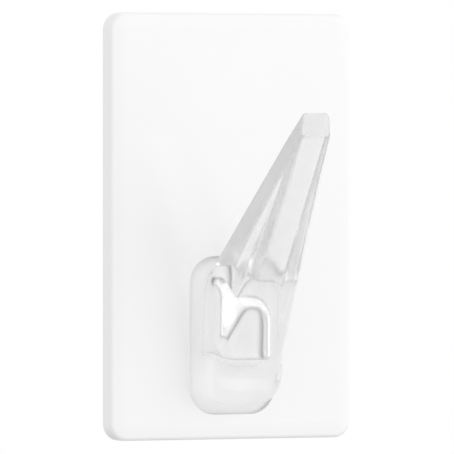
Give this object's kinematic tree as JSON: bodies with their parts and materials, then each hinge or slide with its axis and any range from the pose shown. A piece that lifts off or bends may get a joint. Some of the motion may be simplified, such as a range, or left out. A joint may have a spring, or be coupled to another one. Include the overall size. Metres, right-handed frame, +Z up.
{
  "type": "adhesive wall hook",
  "caption": "White rectangular adhesive wall hook with a clear leaning prong; the front lifts off a hidden base that a stretch-release strip holds to the wall.",
  "frame": {"origin": "middle of the strip's sticky grip on the wall plane, behind the middle of the face plate", "axes": "+Z up, +Y into the wall, +X to the right when facing the hook"},
  "size_m": [0.045, 0.0325, 0.07],
  "materials": {
    "white_plate": "smooth moulded gloss",
    "clear_plastic": "polished and clear",
    "base_plastic": "satin moulded",
    "adhesive": "tacky and slightly glossy",
    "foam": "fine closed-cell foam",
    "tab_film": "matt film"
  },
  "bodies": {
    "wall_mount": {"mounting_base": "base_plastic", "front_adhesive": "adhesive", "foam_core": "foam", "wall_adhesive": "adhesive", "pull_tab": "tab_film"},
    "front": {"face_plate": "white_plate", "clear_hook": "clear_plastic", "carrier": "base_plastic"}
  },
  "joints": [
    {"name": "lift_off", "type": "slide", "parent": "wall_mount", "child": "front", "axis": [0, 0, 1], "range_m": [0, 0.042]}
  ]
}
